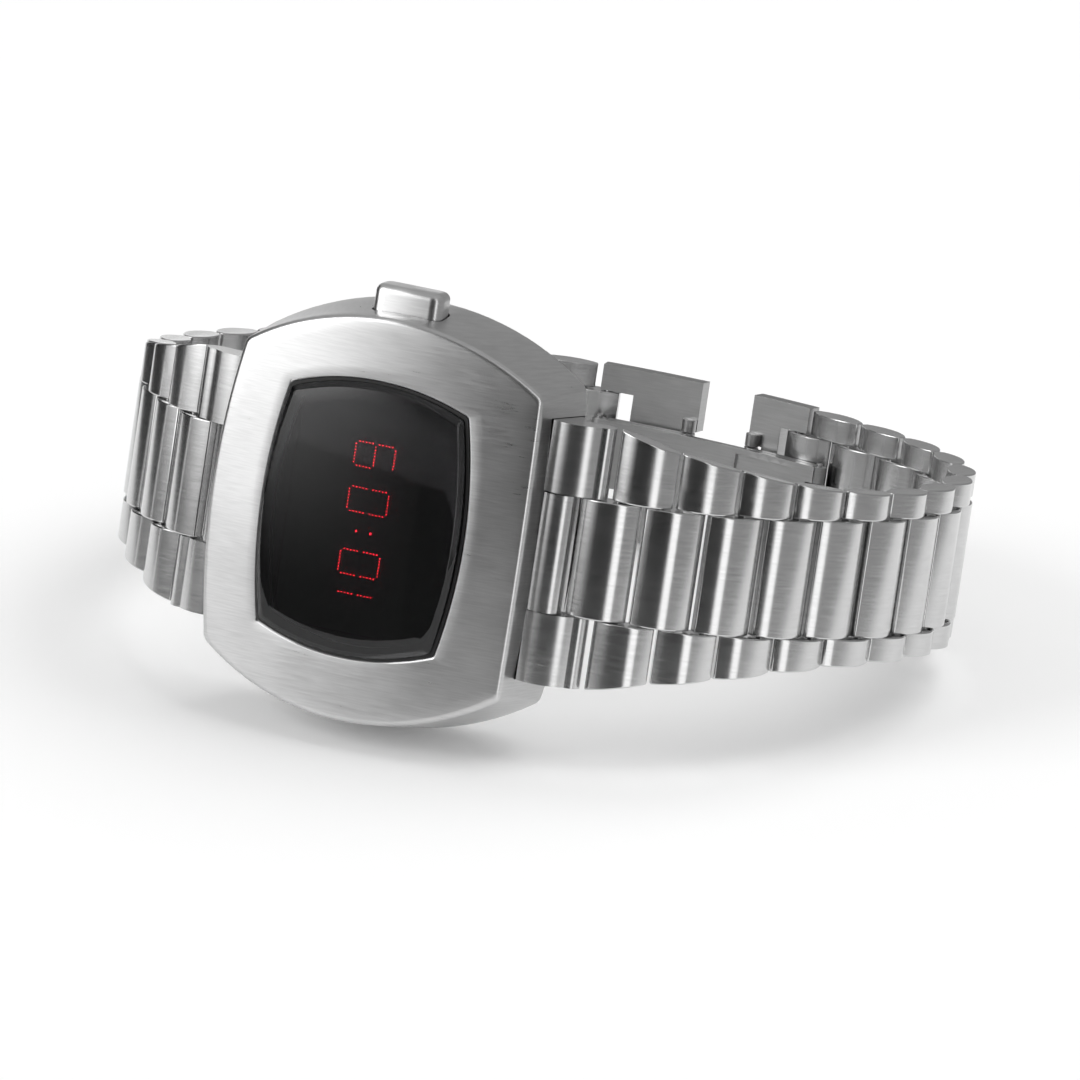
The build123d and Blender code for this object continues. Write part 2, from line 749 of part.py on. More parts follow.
def build():
    """Every node of the watch, in the watch's own frame."""
    nodes = {
        "case_middle": make_case_middle(),
        "crystal": make_crystal(),
        "crystal_gasket": make_crystal_gasket(),
        "display_filter": make_display_filter(),
        "led_segments": make_led_segments(),
        "circuit_board": make_circuit_board(),
        "module_holder": make_module_holder(),
        "battery": make_battery(),
        "battery_contact": make_battery_contact(),
        "caseback": make_caseback(),
        "caseback_gasket": between(back_gasket_ring(), seat_depth - back_gasket_depth, seat_depth),
        "caseback_screws": make_caseback_screws(),
        "pusher_cap": make_pusher_cap(),
        "pusher_stem": make_pusher_stem(),
        "pusher_clip": make_pusher_clip(),
        "pusher_gasket": make_pusher_gasket(),
        "pusher_spring": make_pusher_spring(),
    }
    for name, flip in (("6", False), ("12", True)):
        turned = Rot(Y=half_turn) if flip else Rot()
        end_link = make_end_link()
        nodes["end_link_" + name] = [mirror(end_link, Plane.YZ) if flip else end_link]
        nodes["end_link_" + name].append(turned * Pos(lug_x, lug_y) * make_pin())
        nodes["spring_bar_" + name] = turned * make_spring_bar()
        pivots, directions = (pivots_12, directions_12) if flip else (pivots_6, directions_6)
        for index, angle in enumerate(directions):
            frame = at_pivot(pivots[index], angle, flip)
            link = make_link(strap_width(index), strap_width(index + 1))
            if flip and index == len(directions) - 1:
                link = link[:1]
            nodes[f"link_{name}_{index + 1:02d}"] = [frame * piece for piece in link]
    tongue_turn = math.degrees(bar_reach / clasp_radius) / 2
    frame_6 = at_pivot(clasp_point(0, 0), clasp_start_angle + tongue_turn, False)
    end_angle = clasp_start_angle + math.degrees(clasp_length / clasp_radius)
    frame_12 = at_pivot(clasp_point(clasp_length, 0), end_angle - tongue_turn + half_turn, True)
    nodes["clasp_link_6"] = [frame_6 * piece for piece in make_clasp_link(False)]
    nodes["clasp_link_12"] = [frame_12 * piece for piece in make_clasp_link(True)]
    nodes["cover_bar_6"] = frame_6 * Pos(bar_reach, 0) * make_pin()
    nodes["cover_bar_12"] = frame_12 * Pos(bar_reach, 0) * make_pin()
    nodes["clasp_cover_6"] = make_cover(cover_6_span, cover_hinge_6, cover_notch_6, outer_start)
    nodes["clasp_cover_12"] = make_cover(cover_12_span, cover_hinge_12, cover_notch_12, cover_12_span[1])
    nodes["cover_pin_6"] = make_cover_pin(cover_hinge_6)
    nodes["cover_pin_12"] = make_cover_pin(cover_hinge_12)
    nodes["clasp_wing_6"] = make_wing(cover_hinge_6, base_hinge_6)
    nodes["clasp_wing_12"] = make_wing(cover_hinge_12, base_hinge_12)
    nodes["clasp_base"] = make_clasp_base()
    nodes["base_pins"] = make_base_pins()
    return nodes


def stand(nodes):
    """Turn the watch to rest on its side, lowest point at zero and centred over the origin."""
    turn = Rot(X=lean) * Rot(Y=roll)
    turned = {name: turn * Compound(pieces if isinstance(pieces, list) else [pieces])
              for name, pieces in nodes.items()}
    box = Compound(list(turned.values())).bounding_box()
    shift = Pos(-(box.min.X + box.max.X) / 2, -(box.min.Y + box.max.Y) / 2, -box.min.Z)
    return {name: shift * shape for name, shape in turned.items()}, shift * turn


parts, placement = stand(build())
os.makedirs("parts", exist_ok=True)
for name, shape in parts.items():
    export_step(shape, f"parts/{name}.step")
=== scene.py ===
"""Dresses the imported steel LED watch: finished meshes, brushed steel, dark crystal and lit digits."""
import json
import math

import bmesh
import bpy
from mathutils import Matrix, Vector


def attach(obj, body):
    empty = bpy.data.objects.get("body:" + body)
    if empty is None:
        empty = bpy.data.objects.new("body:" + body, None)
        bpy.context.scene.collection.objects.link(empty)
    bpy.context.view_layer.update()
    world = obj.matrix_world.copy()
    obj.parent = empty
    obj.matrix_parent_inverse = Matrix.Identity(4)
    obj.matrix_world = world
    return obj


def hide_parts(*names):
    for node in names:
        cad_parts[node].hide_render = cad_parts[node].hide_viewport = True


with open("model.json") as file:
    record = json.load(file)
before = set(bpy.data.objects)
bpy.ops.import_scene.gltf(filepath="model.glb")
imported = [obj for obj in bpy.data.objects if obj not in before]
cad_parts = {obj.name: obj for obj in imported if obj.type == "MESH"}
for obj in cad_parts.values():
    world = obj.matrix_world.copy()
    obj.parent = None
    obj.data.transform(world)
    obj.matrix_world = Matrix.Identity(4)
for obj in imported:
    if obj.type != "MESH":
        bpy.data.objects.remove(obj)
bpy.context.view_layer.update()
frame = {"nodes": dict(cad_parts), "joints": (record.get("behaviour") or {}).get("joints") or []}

# The watch leans back on its bracelet, so its pieces are drawn in the case's own frame:
# x from 12 to 6 o'clock, y from the dial towards the wrist, z from 9 to 3 o'clock, with
# the middle of the face as origin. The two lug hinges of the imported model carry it.
mm = 0.001
lug_depth = 5.0
joints = {joint["name"]: joint for joint in frame["joints"]}
lug_6, lug_12 = (Vector(joints[f"link_{side}_01_hinge"]["pos_m"]) for side in ("6", "12"))
high = -Vector(joints["link_6_01_hinge"]["axis"]).normalized()
along = (lug_6 - lug_12).normalized()
deep = high.cross(along)


def frame_at(origin, x, y, z):
    """The matrix that places a piece drawn in millimetres along three directions."""
    return Matrix.Translation(origin) @ Matrix((x, y, z)).transposed().to_4x4() @ Matrix.Scale(mm, 4)


watch = frame_at((lug_6 + lug_12) / 2 - deep * lug_depth * mm, along, deep, high)


# Case middle: a barrel of cold-worked stainless steel, turned and milled from one block.
# Its face is a shallow curve from 12 to 6, its edge is rounded, its flanks lean outwards
# and draw in again at the back, and its straight satin grain runs along the strap.
face_line = {"left": 17.3, "right": 14.5, "tall": 19.35,
             "corner_left": 15.85, "corner_right": 14.35, "corner_tall": 14.55}
wide_line = {"left": 17.35, "right": 17.35, "tall": 20.4,
             "corner_left": 15.9, "corner_right": 15.9, "corner_tall": 15.2}
face_curve, face_bands = 90.0, 5
edge_radius, edge_turn, edge_steps = 0.55, 80, 6
window_half, window_corner, window_shift = (9.95, 12.95), (8.65, 11.2), -1.45
ledge_reach, ledge_front, ledge_back = 1.0, 1.35, 1.95
lip_gap, lip_rings = 0.5, ((0.3, 0.15), (0.42, 0.02))  # margin round the window, depth
flank_shares = (0.1, 0.3, 0.5, 0.75, 0.96)
wide_depth, back_depth, back_inset = 8.5, 11.4, 1.6
seat_depth, seat_inset, bore_inset = 10.4, 2.25, 6.0  # the back rings are insets and depths
back_rings = ((0.03, 8.6), (0.12, 8.8), (back_inset * 0.9, 11.1), (back_inset, 11.28),
              (back_inset + 0.15, back_depth), (seat_inset, back_depth), (seat_inset, seat_depth),
              (bore_inset, seat_depth), (bore_inset, ledge_back))
pusher_place = (-0.95, 4.3)
recess_half, recess_radius, recess_ends = (3.57, 1.87), 1.12, (17.87, 24.0)
pocket_span, pocket_depth, pocket_half = (13.2, 19.0), (3.2, 8.3), 12.55
scratch_lines, wear_spots = (420, 420, 6500), (160, 160, 160)
dark_share, light_share, wear_share = 0.76, 1.12, 0.2
scratch_strength, scratch_depth, sheen_swing = 0.03, 0.02, 0.08
scratch_detail, wear_detail, across_grain = 3.0, 5.0, 0.25


class Socket:
    """A shader value that takes arithmetic."""

    def __init__(self, tree, socket):
        self.tree, self.socket = tree, socket

    def output(self, name):
        """Another output of the node that gives this value."""
        return Socket(self.tree, self.socket.node.outputs[name])

    def _math(self, operation, first, second):
        return node(self.tree, "ShaderNodeMath", {"operation": operation}, {0: first, 1: second})

    def __add__(self, other):
        return self._math("ADD", self, other)

    def __sub__(self, other):
        return self._math("SUBTRACT", self, other)

    def __rsub__(self, other):
        return self._math("SUBTRACT", other, self)

    def __mul__(self, other):
        return self._math("MULTIPLY", self, other)

    __radd__, __rmul__ = __add__, __mul__


def node(tree, kind, settings=None, values=None, output=0):
    """Add a node: its settings first, then its socket values or links."""
    made = tree.nodes.new(kind)
    for name, value in (settings or {}).items():
        setattr(made, name, value)
    for name, value in (values or {}).items():
        if isinstance(value, Socket):
            tree.links.new(value.socket, made.inputs[name])
        else:
            made.inputs[name].default_value = value
    return Socket(tree, made.outputs[output])


def finish(name, surface):
    """A node material whose surface is built by a function of its tree."""
    material = bpy.data.materials.new(name)
    material.use_nodes = True
    tree = material.node_tree
    tree.nodes.clear()
    out = tree.nodes.new("ShaderNodeOutputMaterial")
    tree.links.new(surface(tree).socket, out.inputs["Surface"])
    return material


def opaque(colour, share=1.0):
    """A colour times a share, without any transparency."""
    return tuple(value * share for value in colour) + (1,)


def blend(tree, amount, low, high):
    """A colour between two others."""
    return node(tree, "ShaderNodeMix", {"data_type": "RGBA"}, {0: amount, 6: low, 7: high}, 2)


def clouds(tree, stretch, detail=scratch_detail):
    """Noise from 0 to 1 in the watch's frame, scaled along each of its directions."""
    place = node(tree, "ShaderNodeNewGeometry")
    turned = node(tree, "ShaderNodeVectorRotate", {"rotation_type": "EULER_XYZ", "invert": True},
                  {"Vector": place, "Rotation": tuple(watch.to_euler("XYZ"))})
    spread = node(tree, "ShaderNodeVectorMath", {"operation": "MULTIPLY"}, {0: turned, 1: stretch})
    return node(tree, "ShaderNodeTexNoise", {}, {"Vector": spread, "Scale": 1.0, "Detail": detail})


def steel(name, shade, roughness, drawn):
    """Satin steel: fine scratches, cloudy handling wear, and highlights drawn out across the grain."""
    def surface(tree):
        scratches = clouds(tree, scratch_lines)
        wear = clouds(tree, wear_spots, wear_detail)
        tone = blend(tree, scratches * (1 - wear_share) + wear * wear_share,
                     opaque((shade,) * 3, dark_share), opaque((shade,) * 3, light_share))
        dents = node(tree, "ShaderNodeBump", {}, {
            "Strength": scratch_strength, "Distance": scratch_depth * mm, "Height": scratches})
        return node(tree, "ShaderNodeBsdfPrincipled", {}, {
            "Base Color": tone, "Metallic": 1.0, "Normal": dents,
            "Roughness": roughness + (scratches - 0.5) * sheen_swing + (wear - 0.5) * sheen_swing,
            "Anisotropic": drawn, "Anisotropic Rotation": across_grain})
    return finish(name, surface)


def arc(half_chord, rise, steps, trim=0.0):
    """Points of a shallow arc over its chord, cut short at both ends by a trim."""
    radius = (half_chord ** 2 + rise ** 2) / (2 * rise)
    reach = math.asin(half_chord / radius) - trim / radius
    turns = [reach * (2 * step / steps - 1) for step in range(steps + 1)]
    return [(radius * math.sin(turn), radius * math.cos(turn) - radius + rise) for turn in turns]


def barrel(left, right, tall, corner_left, corner_right, corner_tall, rounding, steps=24, corner_steps=6):
    """A closed barrel outline of four arcs with softened corners, as (x, z) points."""
    middle, half = (corner_right - corner_left) / 2, (corner_right + corner_left) / 2
    top = [(middle + u, corner_tall + v) for u, v in arc(half, tall - corner_tall, steps, rounding)]
    right_side = [(corner_right + v, -u) for u, v in arc(corner_tall, right - corner_right, steps, rounding)]
    bottom = [(2 * middle - x, -z) for x, z in top]
    left_side = [(-corner_left - v, u) for u, v in arc(corner_tall, left - corner_left, steps, rounding)]
    sides = [top, right_side, bottom, left_side]
    corners = [(corner_right, corner_tall), (corner_right, -corner_tall),
               (-corner_left, -corner_tall), (-corner_left, corner_tall)]
    points = []
    for index, side in enumerate(sides):
        points += side
        start, end, corner = side[-1], sides[(index + 1) % 4][0], corners[index]
        for step in range(1, corner_steps):
            t = step / corner_steps
            points.append(tuple(a * (1 - t) ** 2 + 2 * b * t * (1 - t) + c * t ** 2
                                for a, b, c in zip(start, corner, end)))
    return points


def add_object(name, bm, place, material, body, *stands_for):
    """Turn a bmesh in millimetres into a smooth piece that rides on a body and stands for CAD nodes."""
    bmesh.ops.recalc_face_normals(bm, faces=bm.faces)
    bm.transform(place)
    mesh = bpy.data.meshes.new(name)
    bm.to_mesh(mesh)
    bm.free()
    mesh.materials.append(material)
    piece = bpy.data.objects.new(name, mesh)
    bpy.context.scene.collection.objects.link(piece)
    smooth(piece)
    if body:
        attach(piece, body)
    if stands_for:
        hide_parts(*stands_for)
    return piece


def smooth(piece, angle=32):
    """Shade a piece smooth up to an angle."""
    piece.data.shade_smooth()
    piece.data.set_sharp_from_angle(angle=math.radians(angle))


def loft(bm, rings, ends=()):
    """Join closed rings of points in order; ends says which of 0 and -1 get a cap, or a loop closes."""
    rows = [[bm.verts.new(point) for point in ring] for ring in rings]
    pairs = list(zip(rows, rows[1:]))
    if ends == "loop":
        pairs.append((rows[-1], rows[0]))
    for low, up in pairs:
        count = len(low)
        for index in range(count):
            following = (index + 1) % count
            bm.faces.new((low[index], low[following], up[following], up[index]))
    if ends != "loop":
        for end in ends:
            bm.faces.new(rows[end])


def cut(piece, cutter):
    """Take a cutter out of a piece and remove it."""
    hole = piece.modifiers.new("cut", "BOOLEAN")
    hole.operation = "DIFFERENCE"
    hole.solver = "EXACT"
    hole.object = cutter
    done = bpy.data.meshes.new_from_object(piece.evaluated_get(bpy.context.evaluated_depsgraph_get()))
    piece.modifiers.clear()
    piece.data = done
    bpy.data.objects.remove(cutter)


def window_outline(margin, rounding=0.25):
    """The display window grown by a margin."""
    wide, tall = (half + margin for half in window_half)
    corner_wide, corner_tall = (corner + margin for corner in window_corner)
    outline = barrel(wide, wide, tall, corner_wide, corner_wide, corner_tall, rounding)
    return [(x + window_shift, z) for x, z in outline]


def case_outline(line, inset, rounding=0.5):
    """One of the case's two outlines, drawn in by an inset."""
    return barrel(**{name: value - inset for name, value in line.items()}, rounding=rounding)


def between(first, second, share):
    """An outline part of the way from one to another."""
    return [(a[0] + (b[0] - a[0]) * share, a[1] + (b[1] - a[1]) * share) for a, b in zip(first, second)]


def face_depth(x):
    """How far the curved face lies behind its highest line."""
    return face_curve - math.sqrt(face_curve ** 2 - x ** 2)


def at_depth(outline, depth, curved=1.0):
    """A ring at a depth, following the face's curve by a share."""
    return [(x, depth + curved * face_depth(x), z) for x, z in outline]


def block_mesh(low, up):
    """A box cutter between two corners."""
    bm = bmesh.new()
    loft(bm, [[(low[0], y, low[2]), (up[0], y, low[2]), (up[0], y, up[2]), (low[0], y, up[2])]
              for y in (low[1], up[1])], (0, -1))
    return bm


def rounded_bar(half, radius, z_rings, centre, steps=8):
    """A bar with round corners along z, as rings of (inset, z)."""
    bm = bmesh.new()
    rings = []
    for inset, z in z_rings:
        ring = []
        for corner in range(4):
            middle_x = centre[0] + (1 if corner in (0, 3) else -1) * (half[0] - radius)
            middle_y = centre[1] + (1 if corner in (0, 1) else -1) * (half[1] - radius)
            for step in range(steps + 1):
                angle = math.pi / 2 * (corner + step / steps)
                ring.append((middle_x + (radius - inset) * math.cos(angle),
                             middle_y + (radius - inset) * math.sin(angle), z))
        rings.append(ring)
    loft(bm, rings, (0, -1))
    return bm


ledge, opening = window_outline(-ledge_reach), window_outline(lip_rings[0][0])
rings = [at_depth(ledge, ledge_back, 0), at_depth(ledge, ledge_front, 0), at_depth(opening, ledge_front, 0)]
rings += [at_depth(window_outline(margin), depth) for margin, depth in lip_rings]
lip, face_edge = window_outline(lip_gap), case_outline(face_line, edge_radius)
rings += [at_depth(between(lip, face_edge, band / face_bands), 0) for band in range(face_bands + 1)]
for step in range(1, edge_steps + 1):
    turn = math.radians(edge_turn * step / edge_steps)
    inset, depth = edge_radius * (1 - math.sin(turn)), edge_radius * (1 - math.cos(turn))
    rings.append(at_depth(case_outline(face_line, inset), depth))
front_edge, wide_edge = case_outline(face_line, 0), case_outline(wide_line, 0)
for share in flank_shares:
    depth = edge_radius + (wide_depth - edge_radius) * share
    rings.append(at_depth(between(front_edge, wide_edge, share), depth, 1 - share))
rings += [at_depth(case_outline(wide_line, inset), depth, 0) for inset, depth in back_rings]
bm = bmesh.new()
loft(bm, rings, "loop")
case_steel = steel("case_steel", 0.68, 0.30, 0.75)
case = add_object("case", bm, watch, case_steel, "watch_head", "case_middle")
recess = rounded_bar(recess_half, recess_radius, [(0, end) for end in recess_ends], pusher_place)
cut(case, add_object("recess_cutter", recess, watch, case_steel, None))
for side in (-1, 1):
    near, far = sorted(side * end for end in pocket_span)
    pocket = block_mesh((near, pocket_depth[0], -pocket_half), (far, pocket_depth[1], pocket_half))
    cut(case, add_object("pocket_cutter", pocket, watch, case_steel, None))
smooth(case)


# Caseback: a steel plate with a straight grain, held by four slotted screws that sit in
# counterbores, over a rubber gasket. It is the face that rests on the wrist.
caseback_steel = steel("caseback_steel", 0.62, 0.34, 0.6)
pin_steel = steel("pin_steel", 0.6, 0.25, 0.2)


def dress(material, *names):
    """Give CAD nodes a finish."""
    for name in names:
        mesh = frame["nodes"][name].data
        mesh.materials.clear()
        mesh.materials.append(material)


dress(caseback_steel, "caseback")
dress(pin_steel, "caseback_screws")


# Module: a moulded holder with a green board in front and a nickel-plated cell behind,
# pressed by a brass contact strip. All of it is sealed inside the case.
skin_spots, skin_detail, skin_strength, skin_depth = (900, 900, 900), 4.0, 0.05, 0.02
skin_dark, skin_light, skin_swing = 0.85, 1.1, 0.1


def plain(name, colour, roughness, metallic=0.0):
    """A moulded or plated surface with a fine uneven skin."""
    def surface(tree):
        skin = clouds(tree, skin_spots, skin_detail)
        dents = node(tree, "ShaderNodeBump", {}, {
            "Strength": skin_strength, "Distance": skin_depth * mm, "Height": skin})
        return node(tree, "ShaderNodeBsdfPrincipled", {}, {
            "Base Color": blend(tree, skin, opaque(colour, skin_dark), opaque(colour, skin_light)),
            "Metallic": metallic, "Normal": dents, "Roughness": roughness + (skin - 0.5) * skin_swing})
    return finish(name, surface)


dress(plain("holder_plastic", (0.03, 0.03, 0.032), 0.55), "module_holder")
dress(plain("board_green", (0.03, 0.12, 0.06), 0.45), "circuit_board")
dress(plain("cell_steel", (0.72, 0.71, 0.69), 0.22, 1.0), "battery")
dress(plain("contact_brass", (0.75, 0.56, 0.25), 0.3, 1.0), "battery_contact")
gasket_rubber = plain("gasket_rubber", (0.015, 0.015, 0.015), 0.7)
dress(gasket_rubber, "caseback_gasket", "pusher_gasket")


# Display: light-emitting dots on the board, behind a smoked filter. Each lit stroke of a
# figure is a row of dots, and the figures read from 9 towards 3 o'clock.
strokes = {"0": "abcdef", "1": "bc", "9": "abcdfg"}
figures, figure_places = "1009", (-8.55, -4.45, 1.5, 5.8)
figure_row, dot_depth = -1.6, 2.72
dot_radius, dot_spacing, tall_stretch = 0.07, 0.29, 1.12
colon_place, colon_half, colon_growth = -1.45, 0.7, 1.7
led_colour, led_strength = (1.0, 0.02, 0.05), 14.0
glass_index, smear_spots, smear_swing = 1.45, (90, 90, 90), 0.01


def figure_dots(figure, tall=6, wide=8):
    """The lit dots of one figure as (down, across) counts from its middle."""
    rows = {"a": -tall, "g": 0, "d": tall}
    dots = set()
    for stroke in strokes[figure]:
        if stroke in rows:
            dots |= {(rows[stroke], across - wide / 2) for across in range(1, wide)}
        else:
            across = wide / 2 if stroke in "bc" else -wide / 2
            first = -tall if stroke in "bf" else 0
            dots |= {(first + down, across) for down in range(1, tall)}
    return dots


def light_dot(bm, down, across, radius):
    """One lit dot, at a place from the middle of the figures."""
    centre = Matrix.Translation((figure_row + down, dot_depth, across))
    bmesh.ops.create_icosphere(bm, subdivisions=1, radius=radius, matrix=centre)


bm = bmesh.new()
for figure, place in zip(figures, figure_places):
    for down, across in figure_dots(figure):
        light_dot(bm, down * dot_spacing * tall_stretch, place + across * dot_spacing, dot_radius)
for down in (-colon_half, colon_half):
    light_dot(bm, down, colon_place, dot_radius * colon_growth)
led_red = finish("led_red", lambda tree: node(tree, "ShaderNodeBsdfPrincipled", {}, {
    "Base Color": opaque(led_colour), "Emission Color": opaque(led_colour),
    "Emission Strength": led_strength, "Roughness": 0.5}))
add_object("lit_dots", bm, watch, led_red, "watch_head", "led_segments")


def smoked(name, tint, sheen):
    """Tinted glass with faint smears in its sheen."""
    return finish(name, lambda tree: node(tree, "ShaderNodeBsdfPrincipled", {}, {
        "Base Color": opaque(tint), "Roughness": sheen + clouds(tree, smear_spots) * smear_swing,
        "IOR": glass_index, "Transmission Weight": 1.0}))


dress(smoked("filter_plastic", (0.5, 0.42, 0.42), 0.0), "display_filter")


# Crystal: a thick plate of smoked mineral glass, proud of the face, with a ground bevel
# all round and a very slight crown. It is bonded into its black gasket, which covers the
# ledge under its edge.
crystal_glass = smoked("crystal_glass", (0.28, 0.28, 0.29), 0.01)
tall_curve = 150.0
foot_rings = ((-0.05, 1.3), (0.0, 1.25))  # margin round the window, depth
bevel_rings = ((0.0, -0.72), (-0.05, -0.78), (-0.4, -1.1), (-0.46, -1.14))
plate_margin, plate_depth = -0.55, -1.18
plate_shares = (1.0, 0.9, 0.75, 0.55, 0.35, 0.15, 0.04)
gasket_rings = ((-1.0, 1.31, 0), (0.02, 1.31, 0), (0.02, 0.05, 1),  # with a share of the face's curve
                (0.28, 0.05, 1), (0.28, 1.34, 0), (-1.0, 1.34, 0))


def crowned(outline, depth):
    """A ring at a depth, following the crystal's own crown."""
    return [(x, depth + face_depth(x - window_shift) + tall_curve - math.sqrt(tall_curve ** 2 - z ** 2), z)
            for x, z in outline]


rings = [at_depth(window_outline(margin), depth, 0) for margin, depth in foot_rings]
rings += [crowned(window_outline(margin), depth) for margin, depth in bevel_rings]
plate = window_outline(plate_margin)
for share in plate_shares:
    drawn_in = [(window_shift + (x - window_shift) * share, z * share) for x, z in plate]
    rings.append(crowned(drawn_in, plate_depth))
bm = bmesh.new()
loft(bm, rings, (0, -1))
add_object("crystal_plate", bm, watch, crystal_glass, "watch_head", "crystal")
bm = bmesh.new()
loft(bm, [at_depth(window_outline(margin), depth, curved) for margin, depth, curved in gasket_rings], "loop")
add_object("crystal_seat", bm, watch, gasket_rubber, "watch_head", "crystal_gasket")


# Pusher: a rounded steel bar on a sprung stem, in a close-fitting recess at 3 o'clock.
# Pressing it wakes the display.
pusher_steel = steel("pusher_steel", 0.7, 0.32, 0.6)
cap_half, cap_radius, cap_bottom, cap_top = (3.45, 1.75), 1.2, 18.79, 21.99
cap_rounding, cap_steps = 0.75, 6
cap_rings = [(0.0, cap_bottom)]
for step in range(cap_steps + 1):
    turn = math.radians(90 * step / cap_steps)
    cap_rings.append((cap_rounding * (1 - math.cos(turn)), cap_top - cap_rounding * (1 - math.sin(turn))))
cap = rounded_bar(cap_half, cap_radius, cap_rings, pusher_place)
add_object("pusher_bar", cap, watch, pusher_steel, "pusher", "pusher_cap")
dress(pusher_steel, "pusher_stem", "pusher_clip")
dress(pin_steel, "pusher_spring", "spring_bar_6", "spring_bar_12")


# Bracelet links: each has a centre piece and two outer pieces, milled as lenses from
# solid steel with a lengthwise grain, all on one bridge with a hinge pin at the far end.
# The outer row narrows from the case to the clasp.
bracelet_steel = steel("bracelet_steel", 0.66, 0.2, 0.5)
pitch, link_gap = 6.0, 0.3
link_length = pitch - link_gap
pivot_inset, outer_start = 1.3, 1.5
half_centre, row_gap = 5.65, 0.1
half_inner = half_centre + row_gap
crown_out, crown_in, link_edge = 1.55, 1.25, 0.4
bridge_span, bridge_half, bridge_reach = (2.0, 3.9), 0.6, 0.4
pin_radius, pin_reach = 0.45, 1.0
link_rounding, link_count = 0.13, 13
case_width, clasp_width = 25.0, 16.2
taper_shares = (1.0, 0.68, 0.44, 0.22, 0.09, 0.02, 0, 0, 0, 0, 0, 0, 0, 0)


def lens(start, steps=18):
    """A link's side outline as (along, deep) points: domed outside and inside."""
    middle, half = start + link_length / 2, link_length / 2
    outside = [(middle + u, -link_edge - v) for u, v in arc(half, crown_out - link_edge, steps)]
    inside = [(middle - u, link_edge + v) for u, v in arc(half, crown_in - link_edge, steps)]
    return outside + inside


def prism(bm, outline, low, up):
    """A side outline carried across the strap between two widths, which may vary along it."""
    loft(bm, [[(s, t, low(s)) for s, t in outline], [(s, t, up(s)) for s, t in outline]], (0, -1))


def level(value):
    """A width that is the same all along."""
    return lambda s: value


def tapered(side, near, far):
    """The edge of an outer piece, where the strap narrows from one width to another."""
    return lambda s: side * (near + (far - near) * (s - outer_start) / link_length) / 2


def round_bar(bm, place, radius, half, steps=20):
    """A round pin across the strap."""
    ring = [(place + radius * math.cos(2 * math.pi * i / steps), radius * math.sin(2 * math.pi * i / steps))
            for i in range(steps)]
    prism(bm, ring, level(-half), level(half))


def link_mesh(near, far):
    """A link's centre piece, its outer pair, its bridge and its hinge pin."""
    bm = bmesh.new()
    prism(bm, lens(-pivot_inset), level(-half_centre), level(half_centre))
    for side in (-1, 1):
        prism(bm, lens(outer_start), level(side * half_inner), tapered(side, near, far))
    start, end = bridge_span
    bridge = [(start, -bridge_half), (end, -bridge_half), (end, bridge_half), (start, bridge_half)]
    prism(bm, bridge, level(-half_inner - bridge_reach), level(half_inner + bridge_reach))
    round_bar(bm, pitch, pin_radius, half_inner + pin_reach)
    return bm


def strap_width(index):
    """The bracelet's width at the start of a link."""
    return clasp_width + (case_width - clasp_width) * taper_shares[index]


def soften(piece, width, segments=3, angle=35):
    """Round a piece's edges by a width in millimetres, then set even normals."""
    bevel = piece.modifiers.new("edges", "BEVEL")
    bevel.width = width * mm
    bevel.segments = segments
    bevel.limit_method = "ANGLE"
    bevel.angle_limit = math.radians(angle)
    bevel.use_clamp_overlap = True
    normals = piece.modifiers.new("normals", "WEIGHTED_NORMAL")
    normals.keep_sharp = True


for side, tall in (("6", high), ("12", -high)):
    places = [Vector(joints[f"link_{side}_{index:02d}_hinge"]["pos_m"]) for index in range(1, link_count + 1)]
    steps = [(b - a).normalized() for a, b in zip(places, places[1:])]
    travel = math.radians(joints[f"link_{side}_{link_count}_hinge"]["range_deg"][1])
    steps.append(Matrix.Rotation(travel, 3, tall) @ steps[-1])
    for index, (place, step) in enumerate(zip(places, steps)):
        name = f"link_{side}_{index + 1:02d}"
        bm = link_mesh(strap_width(index), strap_width(index + 1))
        piece = add_object(name + "_steel", bm, frame_at(place, step, tall.cross(step), tall),
                           bracelet_steel, name + "_body", name)
        soften(piece, link_rounding)


# End links: solid steel blocks of the same finish, which fill the lugs and hang on spring
# bars, and the plain links that carry the clasp. Their solids only need rounder edges.
end_steel = steel("end_steel", 0.66, 0.24, 0.0)
plate_rounding, corner_angle = 0.12, 40
weld_distance, flat_angle = 0.001, 0.5


def rounded(name, material, body, width):
    """A solid's own shape with its edges rounded, in its place."""
    solid = frame["nodes"][name]
    bm = bmesh.new()
    bm.from_mesh(solid.data)
    bmesh.ops.remove_doubles(bm, verts=bm.verts, dist=weld_distance * mm)
    bmesh.ops.dissolve_limit(bm, angle_limit=math.radians(flat_angle), verts=bm.verts, edges=bm.edges)
    piece = add_object(name + "_steel", bm, solid.matrix_world.copy(), material, body, name)
    soften(piece, width, 2, corner_angle)
    return piece


for side in ("6", "12"):
    for name, body in (("end_link_" + side, "watch_head"), ("clasp_link_" + side, "cover_" + side + "_body")):
        rounded(name, end_steel, body, plate_rounding)


# Clasp: two pressed covers outside, two folding wings under them and one thin blade
# against the wrist, riveted together by short pins.
# The clasp is the same steel as the links but coloured darker: painted shade on its covers, wings and blade,
# not a darker metal.
clasp_steel = steel("clasp_steel", 0.42, 0.33, 0.0)
cover_rounding = 0.25
for side in ("6", "12"):
    rounded("clasp_cover_" + side, clasp_steel, "cover_" + side + "_body", cover_rounding)
    rounded("clasp_wing_" + side, clasp_steel, "wing_" + side + "_body", plate_rounding)
rounded("clasp_base", clasp_steel, "base_body", plate_rounding)
dress(pin_steel, "cover_bar_6", "cover_bar_12", "cover_pin_6", "cover_pin_12", "base_pins")


